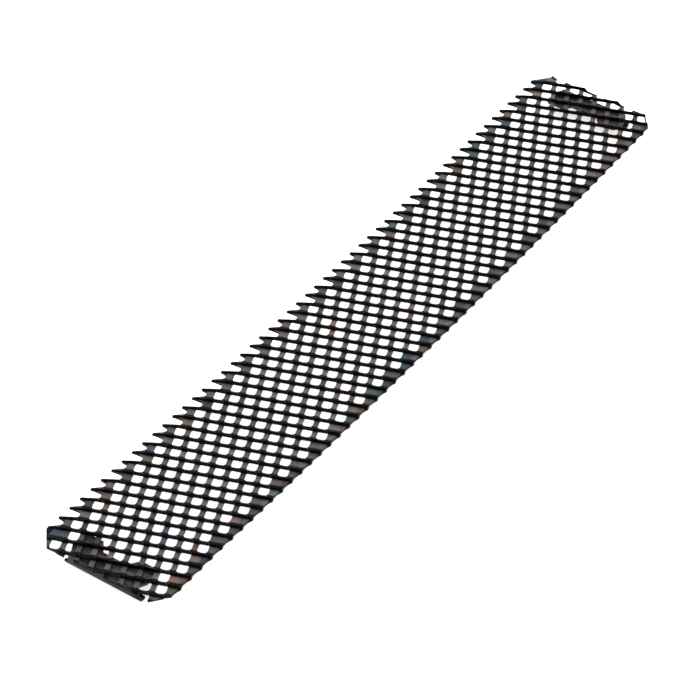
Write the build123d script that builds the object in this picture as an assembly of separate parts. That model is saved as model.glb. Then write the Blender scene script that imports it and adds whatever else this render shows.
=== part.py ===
from build123d import *
import math
import os

# ---------------------------------------------------------------------------
# Full-length flat blade of a wood rasp: a perforated, hardened steel strip
# whose top is a series of low skewed ridges with square windows punched
# between them, and a bent steel hook spot-welded under each end.
#
# Frame: +X along the blade, +Y across it towards the saw-toothed long edge,
# +Z up, the side the teeth cut on.  The origin is under the middle of the
# blade, on the plane that the two hooks stand on.  Millimetres.
# ---------------------------------------------------------------------------

# ---- strip outline
LENGTH = 250.0            # end edge to end edge
WIDTH = 41.7              # tips of the saw teeth to the plain long edge
CHAMFER_X = 5.3           # corner chamfer, along the blade
CHAMFER_Y = 4.3           # corner chamfer, across the blade
DEEP_DEPTH = 4.05         # deep scoops of the saw-toothed edge, below the tips
SHALLOW_DEPTH = 2.35      # shallow scoops between them
TIP_LAND = 0.45           # width of a saw tooth's tip

# ---- rows of windows
ROW_ANGLE = 69.42         # a row leans this far from the X axis, degrees
ROW_PITCH = 4.2032        # spacing of the rows, square to them
ROW_PHASE = -0.39         # the middle row passes this far from the origin
HOLE_PITCH = 4.2941       # spacing of the windows along a row
HOLE_PHASE = 0.655        # first window of the middle row, along the row
ROW_SHIFT = -0.5685       # each row's windows start this much further on
HOLE_HALF = 1.45          # half-width of a window, along the row
HOLE_FAR = 1.625          # window centre to its straight side, under the tooth
HOLE_NEAR = 1.70          # window centre to the middle of its rounded side
HOLE_CHAMFER = 0.30       # cut across the corners of the straight side
HOLE_ROUND = [(0.75, 1.41), (1.20, 1.20), (1.52, 0.80), (1.70, 0.28)]   # the rounded side: out, half-width
HOLE_Y_LIMIT = 17.1       # window centres stay within this of the middle
END_RIM = 0.28            # least steel left between a window and the end edge
OPEN_WITHIN = 0.55        # windows centred this near the end edge are cut open by it
CORNER_RIM = 0.35         # least steel left between a closed window and a corner chamfer
CORNER_CLEAR = 1.35       # no window centred nearer a corner; 1.0 is on its chamfer

# ---- ridge section, square to a row (n runs towards +X from the window centre)
SHEET = 0.60              # thickness of the strip
RIDGE = 0.95              # height of the crests over the flats
FACE_FOOT = 1.09          # foot of the steep tooth face
FACE_TOP = 1.50           # the crest
BACK_FOOT = 2.81          # foot of the back slope
UNDER_FOOT = 1.37         # hollow under the ridge: front foot
UNDER_TOP = 1.69          # its apex
UNDER_TOP_Z = 0.25        # height of the apex over the underside
UNDER_BACK = 2.60         # its back foot
DEEP_PARITY = 0           # 0: the even rows have the deep scoops, 1: the odd ones

# ---- lengthwise bow: the middle hangs lower than the ends
BOW = 1.80
BOW_FLAT = 100.0          # straight beyond this distance from the middle

# ---- end hooks
HOOK_SHEET = 0.90         # thickness of the hook plate
HOOK_X_OUT = 123.2        # outer face of the lip
HOOK_X_EAR = 114.2        # inner ends of the two ears
HOOK_X_NOTCH = 117.4      # bottom of the notch between the ears
HOOK_X_TAPER = 119.6      # the sides narrow from here to the bend
HOOK_EAR_Y = 12.2         # half-width over the ears
HOOK_NECK_Y = 11.0        # half-width at the bend
HOOK_BAR_Y = 12.4         # half-width of the curled foot
NOTCH_OUT_Y = 6.2         # half-width of the notch at its mouth
NOTCH_IN_Y = 3.8          # half-width of the notch at its bottom
HOOK_DROP = 4.55          # underside of the strip's ends to the foot
CURL_R = 1.45             # outer radius of the curl at the foot
CURL_RETURN = 0.9         # straight end of the curl, pointing inwards
BEND_R = 1.30             # outer radius of the bend under the strip
NECK_DROP = 1.55          # the foot is full width this far above the floor
WELD_X = 116.3            # spot welds, from the middle of the blade
WELD_Y = 9.0              # spot welds, either side of the centre line
WELD_R = 1.6              # radius of a weld's dimple
WELD_DEPTH = 0.22         # depth of a weld's dimple

os.makedirs("parts", exist_ok=True)

HALF_L = LENGTH / 2
HALF_W = WIDTH / 2
A = math.radians(ROW_ANGLE)
NX, NY = math.sin(A), math.cos(A)        # across the rows
RX, RY = math.cos(A), -math.sin(A)       # along a row, towards the plain edge
Z_END = HOOK_DROP + SHEET                # top of the flats at the ends


def world(n, r):
    return n * NX + r * RX, n * NY + r * RY


def bow(n):
    a = min(abs(n), BOW_FLAT) / BOW_FLAT
    return BOW * (a * a - 1.0)


def row_n(k):
    return ROW_PHASE + k * ROW_PITCH


def window_centre(k, m):
    return world(row_n(k), HOLE_PHASE + k * ROW_SHIFT + m * HOLE_PITCH)


# ---- one row: its section is drawn across the row and swept along it
def row_slab(k):
    n0 = row_n(k)
    seam = ROW_PITCH / 2
    slope = RIDGE / (BACK_FOOT - FACE_TOP)
    rise = UNDER_TOP_Z / (UNDER_BACK - UNDER_TOP)
    z_seam = RIDGE - (seam - FACE_TOP) * slope
    u_seam = UNDER_TOP_Z - (seam - UNDER_TOP) * rise
    upper = [(-seam, z_seam), (BACK_FOOT - ROW_PITCH, 0.0), (FACE_FOOT, 0.0),
             (FACE_TOP, RIDGE), (seam, z_seam)]
    lower = [(-seam, u_seam - SHEET), (UNDER_BACK - ROW_PITCH, -SHEET), (UNDER_FOOT, -SHEET),
             (UNDER_TOP, UNDER_TOP_Z - SHEET), (seam, u_seam - SHEET)]
    sec = [(n0 + dn, Z_END + bow(n0 + dn) + dz) for dn, dz in upper + lower[::-1]]
    lay = 27.0
    start = -n0 * NY / RY - lay
    wire = Wire.make_polygon(
        [Vector(n * NX + start * RX, n * NY + start * RY, z) for n, z in sec], close=True)
    return Solid.extrude(Face(wire), Vector(2 * lay * RX, 2 * lay * RY, 0))


def biggest(result):
    if isinstance(result, (list, tuple)):
        result = Compound(list(result))
    return max(result.solids(), key=lambda q: q.volume)


def prism(points, z0=0.0, z1=12.0):
    base = Face(Wire.make_polygon([Vector(x, y, z0) for x, y in points], close=True))
    return Solid.extrude(base, Vector(0, 0, z1 - z0))


# ---- scoops between the saw teeth, one to a row; the deep ones stand over the
# rows that hold a window fewer
def tip_x(k):
    n = row_n(k) + FACE_TOP
    return (n - HALF_W * NY) / NX


def scoop(k):
    xa, xb = tip_x(k) + TIP_LAND / 2, tip_x(k + 1) - TIP_LAND / 2
    if k % 2 == DEEP_PARITY:
        b = (xa + 1.95, HALF_W - 3.45)
        foot = (xa + 2.75, HALF_W - DEEP_DEPTH)
        c = (xb + 0.45, HALF_W - 2.95)
    else:
        b = (xa + 1.95, HALF_W - 2.10)
        foot = (xa + 2.75, HALF_W - SHALLOW_DEPTH)
        c = (xb - 0.05, HALF_W - 1.55)
    a, d = (xa, HALF_W), (xb, HALF_W)
    ta, td = (b[0] - a[0], b[1] - a[1]), (d[0] - c[0], d[1] - c[1])
    up = HALF_W + 1.0
    face = Face(Wire([
        Line((xa, up), a), Line(a, b), Spline([b, foot, c], tangents=[ta, td]),
        Line(c, d), Line(d, (xb, up)), Line((xb, up), (xa, up))]))
    return Solid.extrude(face, Vector(0, 0, 12.0))


def clip(points, a, b, limit):
    # keep the part of a polygon where a * x + b * y is under the limit
    kept = []
    for (xa, ya), (xb, yb) in zip(points, points[1:] + points[:1]):
        da, db = a * xa + b * ya - limit, a * xb + b * yb - limit
        if da <= 0:
            kept.append((xa, ya))
        if (da <= 0) != (db <= 0):
            t = da / (da - db)
            kept.append((xa + t * (xb - xa), ya + t * (yb - ya)))
    return kept


# ---- windows of a row
def windows(k):
    out = []
    half = [(HOLE_FAR, HOLE_HALF - HOLE_CHAMFER), (HOLE_FAR - HOLE_CHAMFER, HOLE_HALF)]
    half += [(-u * HOLE_NEAR / 1.70, v) for u, v in HOLE_ROUND]
    ring = half + [(u, -v) for u, v in half[::-1]]
    for m in range(-40, 41):
        x, y = window_centre(k, m)
        if abs(y) > HOLE_Y_LIMIT or abs(x) > HALF_L + 1.3:
            continue
        if (HALF_L - abs(x)) / CHAMFER_X + (HALF_W - abs(y)) / CHAMFER_Y < CORNER_CLEAR:
            continue
        ring_xy = [(x + u * NX + v * RX, y + u * NY + v * RY) for u, v in ring]
        if HALF_L - abs(x) >= OPEN_WITHIN:
            # a closed window stops short of the end edge and of the chamfer
            sx, sy = (1 if x > 0 else -1), (1 if y > 0 else -1)
            ring_xy = clip(ring_xy, sx, 0, HALF_L - END_RIM)
            ring_xy = clip(ring_xy, sx * CHAMFER_Y, sy * CHAMFER_X,
                           HALF_L * CHAMFER_Y + (HALF_W - CHAMFER_Y) * CHAMFER_X
                           - CORNER_RIM * math.hypot(CHAMFER_X, CHAMFER_Y))
        out.append(prism(ring_xy))
    return out


body_box = Solid.make_box(LENGTH, WIDTH, 12).moved(Location((-HALF_L, -HALF_W, 0)))
corners = []
for sx in (-1, 1):
    for sy in (-1, 1):
        corners.append(prism([(sx * HALF_L, sy * (HALF_W - CHAMFER_Y)),
                              (sx * (HALF_L + 2), sy * (HALF_W - CHAMFER_Y)),
                              (sx * (HALF_L + 2), sy * (HALF_W + 2)),
                              (sx * (HALF_L - CHAMFER_X), sy * (HALF_W + 2)),
                              (sx * (HALF_L - CHAMFER_X), sy * HALF_W)]))

rows = []
for k in range(-34, 35):
    reach_n = HALF_L * NX + HALF_W * NY + 2.2
    if abs(row_n(k)) > reach_n:
        continue
    piece = row_slab(k)
    near_end = abs(row_n(k)) > 98.0
    tools = windows(k)
    for q in (k - 1, k, k + 1):
        if (tip_x(q) + 1.2 > -HALF_L + CHAMFER_X and tip_x(q + 1) - 1.2 < HALF_L - CHAMFER_X):
            tools.append(scoop(q))
    if near_end:
        tools += [c for c, (sx, sy) in zip(corners, ((-1, -1), (-1, 1), (1, -1), (1, 1)))
                  if sx * row_n(k) > 0]
    piece = piece.cut(*tools)
    clipped = piece.intersect(body_box)
    if clipped is None:
        continue
    if isinstance(clipped, (list, tuple)):
        clipped = Compound(list(clipped))
    rows += [q for q in clipped.solids() if q.volume > 0.05]

whole = rows[0].fuse(*rows[1:], glue=True)
whole = whole.clean()
solids = sorted(whole.solids(), key=lambda q: -q.volume)
print("strip solids", len(solids), [round(q.volume, 2) for q in solids[:4]])
blade_strip = solids[0]


# ---- end hooks
def hook():
    t, xo, zt = HOOK_SHEET, HOOK_X_OUT, HOOK_DROP
    r = CURL_R
    # side section of the bent sheet, in the XZ plane
    p = [(HOOK_X_EAR, zt - t), (HOOK_X_EAR, zt), (xo - BEND_R, zt)]
    sec = Wire([
        Line(p[0], p[1]), Line(p[1], p[2]),
        RadiusArc(p[2], (xo, zt - BEND_R), BEND_R),
        Line((xo, zt - BEND_R), (xo, r)),
        RadiusArc((xo, r), (xo - r, 0), r),
        Line((xo - r, 0), (xo - r - CURL_RETURN, 0)),
        Line((xo - r - CURL_RETURN, 0), (xo - r - CURL_RETURN, t)),
        Line((xo - r - CURL_RETURN, t), (xo - r, t)),
        RadiusArc((xo - r, t), (xo - t, r), -(r - t)),
        Line((xo - t, r), (xo - t, zt - BEND_R)),
        RadiusArc((xo - t, zt - BEND_R), (xo - BEND_R, zt - t), -(BEND_R - t)),
        Line((xo - BEND_R, zt - t), p[0]),
    ])
    body = Solid.extrude(Face(sec), Vector(0, 0, 2 * HOOK_BAR_Y))
    body = body.moved(Location((0, HOOK_BAR_Y, 0), (90, 0, 0)))
    # plan of the plate: two ears, the notch between them, and the neck
    plan = [(HOOK_X_EAR, NOTCH_OUT_Y), (HOOK_X_EAR, HOOK_EAR_Y - 0.8),
            (HOOK_X_EAR + 0.8, HOOK_EAR_Y), (HOOK_X_TAPER, HOOK_EAR_Y),
            (xo - BEND_R - 0.2, HOOK_NECK_Y), (xo + 1, HOOK_NECK_Y)]
    plan += [(x, -y) for x, y in plan[::-1]]
    plan += [(HOOK_X_NOTCH, -NOTCH_IN_Y), (HOOK_X_NOTCH, NOTCH_IN_Y)]
    keep = Solid.extrude(Face(Wire.make_polygon([Vector(x, y, NECK_DROP) for x, y in plan],
                                                close=True)), Vector(0, 0, zt + 1))
    foot = Solid.make_box(20, 2 * HOOK_BAR_Y, NECK_DROP).moved(
        Location((xo - 10, -HOOK_BAR_Y, 0)))
    upper = body.intersect(keep)
    lower = body.intersect(foot)
    up = max(Compound(upper).solids() if isinstance(upper, (list, tuple)) else upper.solids(),
             key=lambda s: s.volume)
    lo = max(Compound(lower).solids() if isinstance(lower, (list, tuple)) else lower.solids(),
             key=lambda s: s.volume)
    whole = up.fuse(lo).clean()
    whole = max(whole.solids(), key=lambda s: s.volume)
    for s in (-1, 1):
        dimple = Solid.make_cone(WELD_R, WELD_R * 0.7, WELD_DEPTH).moved(
            Location((WELD_X, s * WELD_Y, zt - t)))
        whole = max(whole.cut(dimple).solids(), key=lambda q: q.volume)
    return whole


hook_far = hook()
hook_near = hook_far.moved(Location((0, 0, 0), (0, 0, 180)))

for name, shape, colour in (("blade_strip", blade_strip, (0.10, 0.11, 0.12)),
                            ("near_end_hook", hook_near, (0.20, 0.19, 0.18)),
                            ("far_end_hook", hook_far, (0.20, 0.19, 0.18))):
    shape.label = name
    shape.color = Color(*colour)
    export_step(shape, f"parts/{name}.step", write_pcurves=False)
    bb = shape.bounding_box()
    print(name, round(shape.volume, 1), [round(v, 2) for v in (*bb.min, *bb.max)], shape.is_valid)
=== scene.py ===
import math

import bmesh
import bpy
import numpy as np
from mathutils import Matrix, Vector


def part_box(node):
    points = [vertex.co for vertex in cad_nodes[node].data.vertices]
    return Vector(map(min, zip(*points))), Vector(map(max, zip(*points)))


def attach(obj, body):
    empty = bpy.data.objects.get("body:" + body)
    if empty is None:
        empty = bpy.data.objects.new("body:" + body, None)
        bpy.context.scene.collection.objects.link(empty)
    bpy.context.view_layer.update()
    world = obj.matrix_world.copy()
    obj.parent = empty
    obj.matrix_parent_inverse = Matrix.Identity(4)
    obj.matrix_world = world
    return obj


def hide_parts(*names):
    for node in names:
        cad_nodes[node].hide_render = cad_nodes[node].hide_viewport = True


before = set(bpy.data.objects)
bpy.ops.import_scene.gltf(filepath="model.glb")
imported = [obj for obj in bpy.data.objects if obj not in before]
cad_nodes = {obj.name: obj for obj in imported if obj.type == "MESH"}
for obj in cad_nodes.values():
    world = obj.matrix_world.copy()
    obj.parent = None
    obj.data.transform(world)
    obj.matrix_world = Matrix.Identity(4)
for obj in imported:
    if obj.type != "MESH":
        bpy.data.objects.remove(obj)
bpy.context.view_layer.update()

# ---------------------------------------------------------------------------
# The strip, millimetres.  n runs across the rows, r along them.
# ---------------------------------------------------------------------------
lo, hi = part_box("blade_strip")
HALF_L = (hi.x - lo.x) * 500.0
HALF_W = (hi.y - lo.y) * 500.0
RIDGE = 0.95
Z_END = hi.z * 1000.0 - RIDGE            # top of the flats at the ends
SHEET = 0.60
BOW = Z_END - SHEET - lo.z * 1000.0      # how far the middle hangs
BOW_FLAT = 100.0
CHAMFER_X, CHAMFER_Y = 5.3, 4.3
END_RIM, CORNER_RIM = 0.28, 0.35         # steel left round a closed window
OPEN_WITHIN, CORNER_CLEAR = 0.55, 1.35
DEEP, SHALLOW = 4.05, 2.35
TIP_LAND = 0.45
ANG = math.radians(69.42)
NX, NY = math.sin(ANG), math.cos(ANG)
RX, RY = math.cos(ANG), -math.sin(ANG)
P, PH, SHIFT = 4.2032, 4.2941, -0.5685
ROW_PHASE, HOLE_PHASE = -0.39, 0.655
HW, FAR, NEAR, HR = 1.45, 1.625, 1.70, 0.34   # window: half-width, straight side, rounded side, corner
CREST_AT = 1.50

# section lines of a row: place across the row, height of the top over the
# flats, height of the underside's hollow
LINES = [
    (-1.700, 0.220, 0.0), (-1.660, 0.190, 0.0), (-1.560, 0.125, 0.0), (-1.400, 0.045, 0.0),
    (-1.150, 0.0, 0.0), (-0.800, -0.012, 0.0), (-0.350, -0.02, 0.0), (0.600, -0.012, 0.0),
    (1.090, 0.045, 0.0), (1.285, 0.44, 0.0), (1.391, 0.72, 0.03), (1.500, 0.945, 0.11),
    (1.564, 0.93, 0.16), (1.625, 0.875, 0.20), (1.720, 0.80, 0.24), (2.050, 0.55, 0.15),
    (2.350, 0.333, 0.07),
]
IN_WINDOW = 13                            # lines 0..13 span a window
DN = np.array([a for a, _, _ in LINES] + [P - NEAR])
DT = np.array([b for _, b, _ in LINES] + [0.220])
DU = np.array([c for _, _, c in LINES] + [0.0])
M_SEG, Q_SEG = 2, 3


def bow(n):
    a = np.minimum(np.abs(n), BOW_FLAT) / BOW_FLAT
    return BOW * (a * a - 1.0)


def half_window(dn):
    # a rounded side towards -n, a straight one under the tooth
    if dn < -0.35:
        t = (-0.35 - dn) / (NEAR - 0.35)
        return max(HW * math.sqrt(max(1.0 - t ** 2.5, 0.0)), 0.28)
    if dn <= FAR - HR:
        return HW
    return HW - HR + math.sqrt(max(HR * HR - (dn - FAR + HR) ** 2, 0.0))


def row_n(k):
    return ROW_PHASE + k * P


def smooth(a, b, x):
    t = np.clip((x - a) / (b - a), 0.0, 1.0)
    return t * t * (3 - 2 * t)


# ---- the saw-toothed edge as a height y(n): each scoop from tip to tip
def scoop_curve(k):
    def tip_x(q):
        return (row_n(q) + CREST_AT - HALF_W * NY) / NX
    xa, xb = tip_x(k) + TIP_LAND / 2, tip_x(k + 1) - TIP_LAND / 2
    if k % 2 == 0:
        pts = [(xa, 0), (xa + 0.95, -1.80), (xa + 1.90, -3.45), (xa + 2.30, -3.86),
               (xa + 2.75, -DEEP), (xa + 3.35, -4.02), (xb + 0.22, -3.78),
               (xb + 0.45, -3.25), (xb + 0.42, -2.3), (xb + 0.25, -1.2), (xb, 0)]
    else:
        pts = [(xa, 0), (xa + 0.95, -1.05), (xa + 1.95, -2.02), (xa + 2.35, -2.27),
               (xa + 2.80, -SHALLOW), (xa + 3.35, -2.32), (xb - 0.30, -2.05),
               (xb - 0.10, -1.60), (xb - 0.04, -0.9), (xb, 0)]
    pts = [(x, HALF_W + y) for x, y in pts]
    n = np.array([x * NX + y * NY for x, y in pts])
    y = np.array([q[1] for q in pts])
    o = np.argsort(n)
    return n[o], y[o]


def edge_tip_x(q):
    return (row_n(q) + CREST_AT - HALF_W * NY) / NX


EDGE_N, EDGE_Y = [], []
for k in range(-34, 35):
    if not (edge_tip_x(k) + 1.2 > -HALF_L + CHAMFER_X
            and edge_tip_x(k + 1) - 1.2 < HALF_L - CHAMFER_X):
        continue
    a, b = scoop_curve(k)
    EDGE_N += list(a)
    EDGE_Y += list(b)
EDGE_N, EDGE_Y = np.array(EDGE_N), np.array(EDGE_Y)
order = np.argsort(EDGE_N, kind="stable")
EDGE_N, EDGE_Y = EDGE_N[order], EDGE_Y[order]


def y_saw(n):
    return float(np.interp(n, EDGE_N, EDGE_Y))


def y_plain(n):
    # the pressed ridges squeeze the plain edge out a little
    d = ((n - row_n(0) - 1.55 + P / 2) % P) - P / 2
    return -HALF_W + 0.55 * (1 - math.exp(-(d / 0.85) ** 2))


def build_top():
    """The upper surface as a flat sheet of cells in (n, r), with the windows left out."""
    bm = bmesh.new()
    tag = bm.faces.layers.int.new("kind")    # 0 steel, 1 closed window, 2 open window
    made = {}

    def vert(n, r):
        x, y = n * NX + r * RX, n * NY + r * RY
        key = (round(x * 500), round(y * 500))
        v = made.get(key)
        if v is None:
            v = made[key] = bm.verts.new((x, y, 0.0))
        return v

    kmax = int((HALF_L * NX + HALF_W * NY) / P) + 2
    faces = set()
    for k in range(-kmax, kmax + 1):
        n0 = row_n(k)
        centre = HOLE_PHASE + k * SHIFT
        r_mid = -n0 * NY / RY
        m_first = int(math.floor((r_mid - centre - 24.5) / PH))
        m_last = int(math.ceil((r_mid - centre + 24.5) / PH))
        grid = []
        for i, dn in enumerate(DN):
            n = n0 + dn
            r_top = (n * NY - y_saw(n)) / -RY
            r_bot = (n * NY - y_plain(n)) / -RY
            if i <= IN_WINDOW:
                h, off = half_window(dn), 0.0
            else:
                # from one row's straight side to the next row's rounded one
                w = (dn - FAR) / (P - NEAR - FAR)
                h = half_window(FAR) * (1 - w) + half_window(-NEAR) * w
                off = SHIFT * w
            line = []
            for m in range(m_first, m_last + 1):
                c = centre + m * PH + off
                for q in range(Q_SEG):
                    line.append(c - h + 2 * h * q / Q_SEG)
                for q in range(M_SEG):
                    line.append(c + h + (PH - 2 * h) * q / M_SEG)
            out = []
            for r in line:
                if r < r_top + 0.10:
                    r = r_top
                if r > r_bot - 0.10:
                    r = r_bot
                out.append(r)
            grid.append((n, out))
        per = M_SEG + Q_SEG
        for i in range(len(grid) - 1):
            (na, ra), (nb, rb) = grid[i], grid[i + 1]
            for c in range(len(ra) - 1):
                m = m_first + c // per
                kind = 0
                if i < IN_WINDOW and c % per < Q_SEG:
                    rc = centre + m * PH
                    xc, yc = n0 * NX + rc * RX, n0 * NY + rc * RY
                    if abs(yc) <= 17.1 and abs(xc) <= HALF_L + 1.3:
                        cham = (HALF_L - abs(xc)) / CHAMFER_X + (HALF_W - abs(yc)) / CHAMFER_Y
                        if cham >= CORNER_CLEAR:
                            kind = 1 if HALF_L - abs(xc) >= OPEN_WITHIN else 2
                vs = [vert(na, ra[c]), vert(nb, rb[c]), vert(nb, rb[c + 1]), vert(na, ra[c + 1])]
                loop = []
                for v in vs:
                    if not loop or (v is not loop[-1] and v is not loop[0]):
                        loop.append(v)
                if len(loop) < 3 or len(set(loop)) != len(loop):
                    continue
                key = frozenset(v.index if v.index >= 0 else id(v) for v in loop)
                if key in faces:
                    continue
                faces.add(key)
                try:
                    bm.faces.new(loop)[tag] = kind
                except ValueError:
                    pass
    # end edges and corner chamfers
    planes = [((HALF_L, 0, 0), (1, 0, 0)), ((-HALF_L, 0, 0), (-1, 0, 0))]
    for sx in (-1, 1):
        for sy in (-1, 1):
            nrm = Vector((sx * CHAMFER_Y, sy * CHAMFER_X, 0)).normalized()
            planes.append(((sx * HALF_L, sy * (HALF_W - CHAMFER_Y), 0), nrm))
    for co, no in planes:
        bmesh.ops.bisect_plane(bm, geom=bm.verts[:] + bm.edges[:] + bm.faces[:], dist=1e-4,
                               plane_co=co, plane_no=no, clear_outer=True)
    # a closed window stops short of the end edge and of the chamfers
    rims = []
    for (co, no) in planes:
        no = Vector(no)
        rims.append((Vector(co) - no * (END_RIM if no.y == 0 else CORNER_RIM), no))
    for co, no in rims:
        near = [f for f in bm.faces if f[tag] == 1]
        geom = set(near)
        for f in near:
            geom.update(f.verts)
            geom.update(f.edges)
        bmesh.ops.bisect_plane(bm, geom=list(geom), dist=1e-4, plane_co=co, plane_no=no)
    gone = []
    for f in bm.faces:
        if f[tag] == 2:
            gone.append(f)
        elif f[tag] == 1:
            mid = f.calc_center_median()
            if all((mid - co).dot(no) < 0 for co, no in rims):
                gone.append(f)
    bmesh.ops.delete(bm, geom=gone, context="FACES")
    bmesh.ops.dissolve_degenerate(bm, dist=0.004, edges=bm.edges[:])
    # keep the strip itself, drop any crumb the cuts leave
    bm.verts.ensure_lookup_table()
    seen, best = set(), []
    for v in bm.verts:
        if v in seen:
            continue
        stack, part = [v], []
        seen.add(v)
        while stack:
            a = stack.pop()
            part.append(a)
            for e in a.link_edges:
                b = e.other_vert(a)
                if b not in seen:
                    seen.add(b)
                    stack.append(b)
        if len(part) > len(best):
            best = part
    keep = set(best)
    bmesh.ops.delete(bm, geom=[v for v in bm.verts if v not in keep], context="VERTS")
    for f in bm.faces:
        if f.calc_area() > 0:
            f.normal_update()
            if f.normal.z < 0:
                f.normal_flip()
    return bm


def wave(x, y, s):
    return (np.sin(x * 0.83 * s + 1.3) * np.cos(y * 0.91 * s - 0.7)
            + 0.6 * np.sin(x * 1.97 * s - y * 1.31 * s + 2.1)
            + 0.4 * np.cos(x * 3.1 * s + y * 2.3 * s))


def strip_object():
    flat = build_top()
    flat.verts.ensure_lookup_table()
    flat.verts.index_update()
    xy = np.array([v.co[:2] for v in flat.verts])
    tris = [[v.index for v in f.verts] for f in flat.faces]
    border = []
    for e in flat.edges:
        if len(e.link_faces) == 1:
            f = e.link_faces[0]
            for lp in f.loops:
                if lp.edge == e:
                    border.append((lp.vert.index, lp.link_loop_next.vert.index))
    flat.free()
    x, y = xy[:, 0], xy[:, 1]
    n = x * NX + y * NY
    r = x * RX + y * RY
    k = np.floor((n - ROW_PHASE + NEAR) / P)
    dn = n - ROW_PHASE - k * P
    zt = np.interp(dn, DN, DT)
    zu = np.interp(dn, DN, DU)
    # along the row: 0 at a window's middle, 0.5 at the middle of a land
    rel = ((r - HOLE_PHASE - k * SHIFT + PH / 2) % PH) - PH / 2
    tooth = 1.0 - smooth(0.9, 1.9, np.abs(rel))
    crest = np.clip(zt, 0, None)
    # the crest stands a little lower over the lands than over a tooth
    scale = 0.88 + 0.12 * tooth
    inside = smooth(17.3, 16.2, np.abs(y))
    scale = scale * inside + 0.93 * (1 - inside)
    # towards the saw-toothed edge the crests run out to the tips
    run = np.clip((21.5 - y) / (21.5 - 17.0), 0.16, 1.0)
    scale = scale * run
    top = np.where(zt > 0, crest * scale, zt)
    under = zu * np.clip(run + 0.1, 0, 1) * 0.97
    # hand-sized unevenness of pressed sheet
    ease = 1.0 - smooth(108.0, 112.0, np.abs(x))
    top = top + 0.012 * wave(x, y, 1.0) * (0.35 + 0.65 * ease)
    top = np.minimum(top, RIDGE)
    zb = -SHEET + under
    zb = np.minimum(zb, top - 0.22)
    base = Z_END + bow(n)
    zt_w, zb_w = base + top, base + zb
    count = len(x)
    co = np.zeros((2 * count, 3))
    co[:count, 0], co[:count, 1], co[:count, 2] = x, y, zt_w
    co[count:, 0], co[count:, 1], co[count:, 2] = x, y, zb_w
    faces = [t for t in tris] + [[i + count for i in reversed(t)] for t in tris]
    # side walls with a middle line
    extra = {}
    more = []

    def mid(i):
        if i not in extra:
            extra[i] = 2 * count + len(more)
            more.append((co[i] * 0.45 + co[i + count] * 0.55).tolist())
        return extra[i]

    for a, b in border:
        ma, mb = mid(a), mid(b)
        faces.append([b, a, ma, mb])
        faces.append([mb, ma, a + count, b + count])
    co = np.vstack([co, np.array(more)]) if more else co
    me = bpy.data.meshes.new("perforated_strip")
    me.from_pydata((co / 1000.0).tolist(), [], faces)
    me.validate()
    # how steep the top is there, which the material paints as shade, and which land it belongs to
    steep_shade = np.zeros(len(co))
    s_line = np.interp(dn, [-NEAR, -1.40, -1.15, -0.80, -0.35, 0.60, 1.09, 1.285, 1.50, 1.60, 2.0, P - NEAR],
                       [1.0, 0.85, 0.50, 0.16, 0.0, 0.0, 0.45, 1.0, 1.0, 0.95, 1.0, 1.0])
    # the same dark mask also covers the sheared end edges and the saw teeth's tips all over, and the plain
    # edge in part
    s_line = np.maximum(s_line, smooth(HALF_L - 0.75, HALF_L - 0.45, np.abs(x)))
    s_line = np.maximum(s_line, smooth(HALF_W - 2.3, HALF_W - 1.2, y))
    s_line = np.maximum(s_line, 0.8 * smooth(HALF_W - 0.8, HALF_W - 0.3, -y))
    # painted shade mask: full on the steep faces and side walls, partial on the underside
    steep_shade[:count] = s_line
    steep_shade[count:2 * count] = 0.35 + 0.3 * s_line
    steep_shade[2 * count:] = 1.0
    lid = np.floor((r - HOLE_PHASE - k * SHIFT) / PH)
    land = np.abs(np.sin(k * 12.9898 + lid * 78.233) * 43758.5453)
    land = land - np.floor(land)
    land2 = np.abs(np.sin(k * 39.425 + lid * 17.31 + 4.7) * 24634.6345)
    land2 = land2 - np.floor(land2)
    # painted highlight mask: the window rims along the crests
    edge = np.zeros(len(co))
    onb = np.zeros(count, bool)
    for a, b in border:
        onb[a] = onb[b] = True
    edge[:count] = np.where(onb & (dn > 1.2) & (dn < 1.8), 1.0, 0.0)
    for name, arr in (("steep_shade", steep_shade), ("edge", edge),
                      ("land", np.concatenate([land, land, np.full(len(co) - 2 * count, 0.5)])),
                      ("land2", np.concatenate([land2, land2, np.full(len(co) - 2 * count, 0.5)]))):
        at = me.attributes.new(name, "FLOAT", "POINT")
        at.data.foreach_set("value", arr.astype(np.float32))
    for p in me.polygons:
        p.use_smooth = True
    me.set_sharp_from_angle(angle=math.radians(38))
    ob = bpy.data.objects.new("perforated_strip", me)
    bpy.context.scene.collection.objects.link(ob)
    print("strip faces", len(me.polygons), "tris", sum(len(p.vertices) - 2 for p in me.polygons))
    return ob


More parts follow.
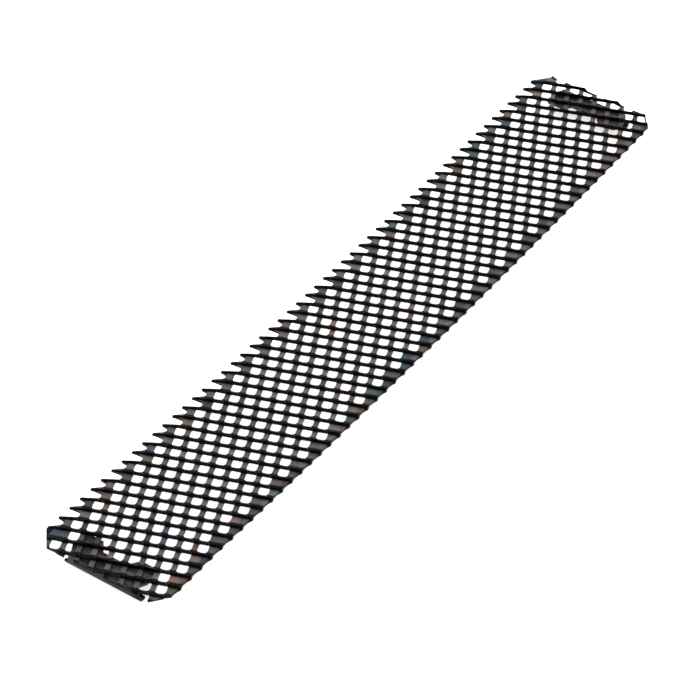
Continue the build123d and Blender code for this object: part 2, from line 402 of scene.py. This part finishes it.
# ---------------------------------------------------------------------------
# Node helpers
# ---------------------------------------------------------------------------
class Nodes:
    def __init__(self, name):
        self.mat = bpy.data.materials.new(name)
        self.mat.use_nodes = True
        self.t = self.mat.node_tree
        self.t.nodes.clear()
        self.out = self.add("ShaderNodeOutputMaterial")
        self.bsdf = self.add("ShaderNodeBsdfPrincipled")
        self.link(self.bsdf, "BSDF", self.out, "Surface")

    def add(self, kind, **kw):
        nd = self.t.nodes.new(kind)
        for a, b in kw.items():
            setattr(nd, a, b)
        return nd

    def link(self, a, ao, b, bi):
        self.t.links.new(a.outputs[ao], b.inputs[bi])

    def coords(self, scale=(1, 1, 1), rot=(0, 0, 0)):
        tc = self.add("ShaderNodeTexCoord")
        mp = self.add("ShaderNodeMapping")
        mp.inputs["Scale"].default_value = scale
        mp.inputs["Rotation"].default_value = rot
        self.link(tc, "Object", mp, "Vector")
        return mp

    def noise(self, vec, scale, detail=4.0, rough=0.5, dist=0.0):
        nz = self.add("ShaderNodeTexNoise")
        nz.inputs["Scale"].default_value = scale
        nz.inputs["Detail"].default_value = detail
        nz.inputs["Roughness"].default_value = rough
        nz.inputs["Distortion"].default_value = dist
        self.link(vec, "Vector", nz, "Vector")
        return nz

    def ramp(self, src, out, stops, mode="LINEAR"):
        rp = self.add("ShaderNodeValToRGB")
        rp.color_ramp.interpolation = mode
        el = rp.color_ramp.elements
        while len(el) < len(stops):
            el.new(0.5)
        for e, (pos, col) in zip(el, stops):
            e.position = pos
            e.color = (*col, 1.0) if len(col) == 3 else col
        self.link(src, out, rp, "Fac")
        return rp

    def mix(self, fac, a, b, mode="MIX"):
        mx = self.add("ShaderNodeMix", data_type="RGBA", blend_type=mode)
        for sock, val in ((0, fac), (6, a), (7, b)):
            if isinstance(val, tuple) and hasattr(val[0], "outputs"):
                self.t.links.new(val[0].outputs[val[1]], mx.inputs[sock])
            elif isinstance(val, (int, float)):
                mx.inputs[sock].default_value = val
            else:
                mx.inputs[sock].default_value = (*val, 1.0)
        return mx

    def math(self, op, a, b=None, clamp=False):
        mt = self.add("ShaderNodeMath", operation=op)
        mt.use_clamp = clamp
        for i, val in enumerate((a, b)):
            if val is None:
                continue
            if isinstance(val, tuple):
                self.t.links.new(val[0].outputs[val[1]], mt.inputs[i])
            else:
                mt.inputs[i].default_value = val
        return mt

    def attr(self, name):
        return self.add("ShaderNodeAttribute", attribute_name=name, attribute_type="GEOMETRY")

    def bump(self, height, out, strength, distance, normal=None):
        bp = self.add("ShaderNodeBump")
        bp.inputs["Strength"].default_value = strength
        bp.inputs["Distance"].default_value = distance
        self.link(height, out, bp, "Height")
        if normal is not None:
            self.link(normal, "Normal", bp, "Normal")
        return bp


def blued_steel():
    g = Nodes("blued_steel_strip")
    vec = g.coords()
    cloud = g.noise(vec, 55.0, 5.0, 0.55, 0.4)
    patch = g.noise(vec, 260.0, 4.0, 0.6, 0.8)
    fine = g.noise(vec, 2600.0, 3.0, 0.6)
    land = g.attr("land")
    land2 = g.attr("land2")
    # temper tint: shifts from land to land and drifts slowly along the blade
    t1 = g.math("MULTIPLY", (land, "Fac"), 0.62)
    t2 = g.math("MULTIPLY", (cloud, "Fac"), 0.55)
    t3 = g.math("ADD", (t1, 0), (t2, 0))
    t4 = g.math("MULTIPLY", (patch, "Fac"), 0.30)
    t5 = g.math("ADD", (t3, 0), (t4, 0))
    t6 = g.math("SUBTRACT", (t5, 0), 0.24, clamp=True)
    tint = g.ramp(t6, 0, [
        (0.00, (0.036, 0.064, 0.080)), (0.16, (0.066, 0.098, 0.100)),
        (0.32, (0.100, 0.104, 0.092)), (0.46, (0.148, 0.104, 0.080)),
        (0.58, (0.094, 0.080, 0.092)), (0.70, (0.040, 0.062, 0.084)),
        (0.84, (0.132, 0.088, 0.084)), (1.00, (0.070, 0.080, 0.098))])
    dark = g.math("MULTIPLY", (land2, "Fac"), 0.45)
    keep = g.math("SUBTRACT", 1.0, (dark, 0))
    shade = g.ramp(keep, 0, [(0.0, (0, 0, 0)), (1.0, (1, 1, 1))])
    flats = g.mix(1.0, (tint, "Color"), (shade, "Color"), "MULTIPLY")
    # grinding and handling marks, along the blade
    sc = g.coords((14.0, 420.0, 60.0), (0, 0, 0.06))
    scratch = g.noise(sc, 3.2, 3.0, 0.7)
    sc_r = g.ramp(scratch, "Fac", [(0.56, (0, 0, 0)), (0.70, (1, 1, 1))])
    sc_f = g.math("MULTIPLY", (sc_r, "Color"), 0.22)
    worn = g.mix((sc_f, 0), (flats, 2), (0.165, 0.158, 0.155))
    # painted shade: the steep faces, window walls and underside are painted blue-black by slope in place of
    # the shade they fall in; patch noise carries it unevenly towards the foot of the teeth
    steep_shade = g.attr("steep_shade")
    sn = g.math("MULTIPLY", (patch, "Fac"), 0.24)
    ss = g.math("ADD", (steep_shade, "Fac"), (sn, 0))
    sr = g.ramp(ss, 0, [(0.30, (0, 0, 0)), (0.72, (1, 1, 1))])
    face = g.ramp(cloud, "Fac", [(0.30, (0.0015, 0.0019, 0.0028)), (0.52, (0.0026, 0.0026, 0.0034)),
                                 (0.72, (0.0018, 0.0025, 0.0033))])
    col = g.mix((sr, "Color"), (worn, 2), (face, "Color"))
    # painted highlight: a hair of brighter grey along the cutting edges stands in for the light they catch
    edge = g.attr("edge")
    en = g.math("MULTIPLY", (edge, "Fac"), (patch, "Fac"))
    er = g.ramp(en, 0, [(0.50, (0, 0, 0)), (0.80, (1, 1, 1))])
    ef = g.math("MULTIPLY", (er, "Color"), 0.35)
    col2 = g.mix((ef, 0), (col, 2), (0.16, 0.16, 0.165))
    g.link(col2, 2, g.bsdf, "Base Color")
    g.bsdf.inputs["Metallic"].default_value = 0.55
    g.bsdf.inputs["Specular IOR Level"].default_value = 0.06
    r1 = g.math("MULTIPLY", (patch, "Fac"), 0.22)
    r2 = g.math("ADD", (r1, 0), 0.36)
    r3 = g.math("MULTIPLY", (sc_f, 0), -0.4)
    r4 = g.math("ADD", (r2, 0), (r3, 0), clamp=True)
    g.link(r4, 0, g.bsdf, "Roughness")
    b1 = g.bump(fine, "Fac", 0.30, 0.00004)
    b2 = g.bump(scratch, "Fac", 0.25, 0.00006, b1)
    b3 = g.bump(patch, "Fac", 0.30, 0.00010, b2)
    g.link(b3, "Normal", g.bsdf, "Normal")
    return g.mat


def hook_steel():
    g = Nodes("hook_plate_steel")
    vec = g.coords()
    cloud = g.noise(vec, 160.0, 5.0, 0.6, 0.5)
    spots = g.noise(vec, 900.0, 4.0, 0.65)
    fine = g.noise(vec, 3500.0, 2.0, 0.6)
    base = g.ramp(cloud, "Fac", [(0.28, (0.012, 0.012, 0.012)), (0.45, (0.034, 0.031, 0.028)),
                                 (0.60, (0.064, 0.054, 0.046)), (0.78, (0.020, 0.021, 0.023))])
    rust = g.ramp(spots, "Fac", [(0.58, (0, 0, 0)), (0.74, (1, 1, 1))])
    rf = g.math("MULTIPLY", (rust, "Color"), 0.30)
    col = g.mix((rf, 0), (base, "Color"), (0.045, 0.028, 0.020))
    # draw lines from rolling and bending run across the blade
    sc = g.coords((700.0, 22.0, 500.0), (0, 0, 0))
    lines = g.noise(sc, 2.4, 3.0, 0.6)
    lr = g.ramp(lines, "Fac", [(0.50, (0, 0, 0)), (0.68, (1, 1, 1))])
    lf = g.math("MULTIPLY", (lr, "Color"), 0.42)
    col2 = g.mix((lf, 0), (col, 2), (0.150, 0.136, 0.126))
    # by height: a dark foot painted as the shade at the floor, light and dark streaks along the lip, and a
    # flat plate painted paler where light reaches it
    tc = g.add("ShaderNodeTexCoord")
    sep = g.add("ShaderNodeSeparateXYZ")
    g.link(tc, "Object", sep, "Vector")
    zz = g.math("MULTIPLY", (sep, "Z"), 1000.0 / 4.6, clamp=True)
    wob = g.math("MULTIPLY", (lines, "Fac"), 0.16)
    zw = g.math("ADD", (zz, 0), (wob, 0))
    zs = g.math("SUBTRACT", (zw, 0), 0.08)
    height_light_shade = g.ramp(zs, 0, [(0.00, (0.10, 0.10, 0.10)), (0.27, (0.10, 0.10, 0.10)),
                          (0.34, (0.95, 0.95, 0.95)), (0.40, (0.30, 0.30, 0.30)),
                          (0.52, (1.00, 1.00, 1.00)), (0.60, (0.32, 0.32, 0.32)),
                          (0.76, (0.75, 0.75, 0.75)), (0.90, (0.85, 0.85, 0.85))])
    col3 = g.mix(1.0, (col2, 2), (height_light_shade, "Color"), "MULTIPLY")
    g.link(col3, 2, g.bsdf, "Base Color")
    g.bsdf.inputs["Metallic"].default_value = 0.55
    g.bsdf.inputs["Specular IOR Level"].default_value = 0.25
    r1 = g.math("MULTIPLY", (spots, "Fac"), 0.30)
    r2 = g.math("ADD", (r1, 0), 0.34, clamp=True)
    g.link(r2, 0, g.bsdf, "Roughness")
    b1 = g.bump(fine, "Fac", 0.25, 0.00004)
    b2 = g.bump(lines, "Fac", 0.35, 0.00008, b1)
    b3 = g.bump(cloud, "Fac", 0.30, 0.00012, b2)
    g.link(b3, "Normal", g.bsdf, "Normal")
    return g.mat


# ---------------------------------------------------------------------------
# Pieces
# ---------------------------------------------------------------------------
strip = strip_object()
strip.data.materials.append(blued_steel())
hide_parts("blade_strip")
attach(strip, "root")

HOOK_MAT = hook_steel()


def hook_piece(node):
    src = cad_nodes[node]
    bm = bmesh.new()
    bm.from_mesh(src.data)
    bmesh.ops.remove_doubles(bm, verts=bm.verts[:], dist=2e-6)
    bmesh.ops.dissolve_limit(bm, angle_limit=math.radians(1.0), verts=bm.verts[:], edges=bm.edges[:])
    sharp = [e for e in bm.edges if len(e.link_faces) == 2 and e.calc_face_angle(0) > math.radians(50)]
    bmesh.ops.bevel(bm, geom=sharp, offset=0.00010, offset_type="OFFSET", segments=2, profile=0.5,
                    affect="EDGES", clamp_overlap=True)
    bmesh.ops.triangulate(bm, faces=[f for f in bm.faces if len(f.verts) > 4])
    me = bpy.data.meshes.new(node + "_plate")
    bm.to_mesh(me)
    bm.free()
    for p in me.polygons:
        p.use_smooth = True
    me.set_sharp_from_angle(angle=math.radians(32))
    me.materials.clear()
    me.materials.append(HOOK_MAT)
    ob = bpy.data.objects.new(node + "_plate", me)
    bpy.context.scene.collection.objects.link(ob)
    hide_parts(node)
    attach(ob, "root")
    return ob


hook_piece("near_end_hook")
hook_piece("far_end_hook")

# ---------------------------------------------------------------------------
# Stage, light, camera
# ---------------------------------------------------------------------------
floor_me = bpy.data.meshes.new("floor")
S = 3.0
floor_me.from_pydata([(-S, -S, 0), (S, -S, 0), (S, S, 0), (-S, S, 0)], [], [(0, 1, 2, 3)])
floor = bpy.data.objects.new("floor", floor_me)
bpy.context.scene.collection.objects.link(floor)
fg = Nodes("pale_floor")
fg.bsdf.inputs["Base Color"].default_value = (0.93, 0.93, 0.93, 1)
fg.bsdf.inputs["Roughness"].default_value = 0.9
fg.bsdf.inputs["Specular IOR Level"].default_value = 0.1
fg.bsdf.inputs["Emission Color"].default_value = (1.0, 1.0, 1.0, 1)
fg.bsdf.inputs["Emission Strength"].default_value = 0.66
floor_me.materials.append(fg.mat)


def area(name, loc, target, size, power, colour=(1, 1, 1)):
    ld = bpy.data.lights.new(name, "AREA")
    ld.shape = "RECTANGLE"
    ld.size, ld.size_y = size
    ld.energy = power
    ld.color = colour
    ob = bpy.data.objects.new(name, ld)
    bpy.context.scene.collection.objects.link(ob)
    ob.location = loc
    d = Vector(target) - Vector(loc)
    ob.rotation_euler = d.to_track_quat("-Z", "Y").to_euler()
    return ob


area("key_softbox", (0.45, 0.40, 1.10), (0, 0, 0), (1.8, 1.8), 11.0)
area("back_softbox", (0.95, 0.65, 0.75), (0, 0, 0), (1.2, 0.9), 4.0)
area("front_fill", (-0.9, -0.6, 1.2), (0, 0, 0), (1.4, 1.4), 3.0)

world = bpy.data.worlds.new("studio")
bpy.context.scene.world = world
world.use_nodes = True
wt = world.node_tree
wt.nodes.clear()
w_out = wt.nodes.new("ShaderNodeOutputWorld")
w_bg = wt.nodes.new("ShaderNodeBackground")
w_bg.inputs["Color"].default_value = (1.0, 1.0, 1.0, 1)
w_bg.inputs["Strength"].default_value = 0.80
wt.links.new(w_bg.outputs["Background"], w_out.inputs["Surface"])

cam_data = bpy.data.cameras.new("camera")
cam = bpy.data.objects.new("camera", cam_data)
bpy.context.scene.collection.objects.link(cam)
cam_data.sensor_width = 36.0
cam_data.lens = 158.634
cam_data.clip_start = 0.01
UP = Vector((0.543014, 0.387957, 0.744731))
FWD = Vector((0.619952, 0.412976, -0.667166))
RIGHT = FWD.cross(UP).normalized()
UP = RIGHT.cross(FWD).normalized()
BACK = -FWD.normalized()
POS = Vector((-0.54883, -0.35908, 0.57857))
cam.matrix_world = Matrix(((RIGHT.x, UP.x, BACK.x, POS.x), (RIGHT.y, UP.y, BACK.y, POS.y),
                           (RIGHT.z, UP.z, BACK.z, POS.z), (0, 0, 0, 1)))
bpy.context.scene.camera = cam
bpy.context.scene.view_settings.view_transform = "Standard"
bpy.context.scene.view_settings.look = "None"
